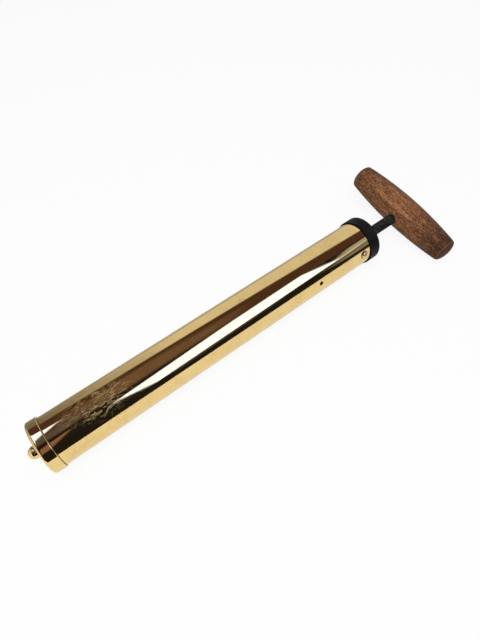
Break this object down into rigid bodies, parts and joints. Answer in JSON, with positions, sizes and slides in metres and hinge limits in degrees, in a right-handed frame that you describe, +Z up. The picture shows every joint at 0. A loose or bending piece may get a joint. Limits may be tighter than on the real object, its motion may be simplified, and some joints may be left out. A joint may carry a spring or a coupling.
{
  "type": "hand pump",
  "caption": "Brass hand pump with a wooden T-handle on a sliding, turning plunger, a leather-cup piston and a ball-tipped outlet with a check valve.",
  "frame": {"origin": "on the surface that the pump lies on, under the middle of its overall box", "axes": "+X along the pump's axis from the ball nozzle to the T-handle, +Z up; the handle's -Y end is the low one"},
  "size_m": [0.3878, 0.1134, 0.0405],
  "materials": {
    "polished_brass": "mirror-polished, fine handling scratches",
    "turned_brass": "turned, satin",
    "brass_screw": "turned head, worn slot",
    "black_moulding": "satin black",
    "black_rod": "blackened, satin",
    "oiled_walnut": "turned and oiled, open pores",
    "cup_leather": "oiled, formed cup",
    "felt": "pressed felt",
    "fibre": "pressed red fibre",
    "buffer_rubber": "soft black rubber",
    "spring_steel": "bright"
  },
  "bodies": {
    "barrel": {"barrel_tube": "polished_brass", "end_cap": "polished_brass", "nozzle": "polished_brass", "cap_gasket": "fibre", "valve_body": "turned_brass", "valve_seat": "turned_brass", "valve_spring": "spring_steel", "head_plug": "black_moulding", "guide_bush": "turned_brass", "felt_wiper": "felt", "wiper_retainer": "turned_brass", "buffer_washer": "buffer_rubber", "head_screws": "brass_screw"},
    "piston": {"piston_hub": "turned_brass", "cup_backing": "turned_brass", "leather_cup": "cup_leather", "cup_spreader": "turned_brass"},
    "plunger": {"plunger_rod": "black_rod", "piston_nut": "turned_brass", "piston_washer": "turned_brass", "t_handle": "oiled_walnut", "handle_washer": "black_rod", "handle_nut": "black_rod"},
    "outlet_valve": {"valve_ball": "spring_steel"}
  },
  "joints": [
    {"name": "plunger_slide", "type": "slide", "parent": "barrel", "child": "piston", "axis": [1, 0, 0], "range_m": [0, 0.2459]},
    {"name": "handle_turn", "type": "hinge", "parent": "piston", "child": "plunger", "pos_m": [-0.14875, 0, 0.02025], "axis": [1, 0, 0], "continuous": true},
    {"name": "outlet_valve_lift", "type": "slide", "parent": "barrel", "child": "outlet_valve", "axis": [-1, 0, 0], "range_m": [0, 0.0015], "stiffness_N_per_m": 60, "springref_m": -0.001, "deforming": ["valve_spring"]}
  ]
}
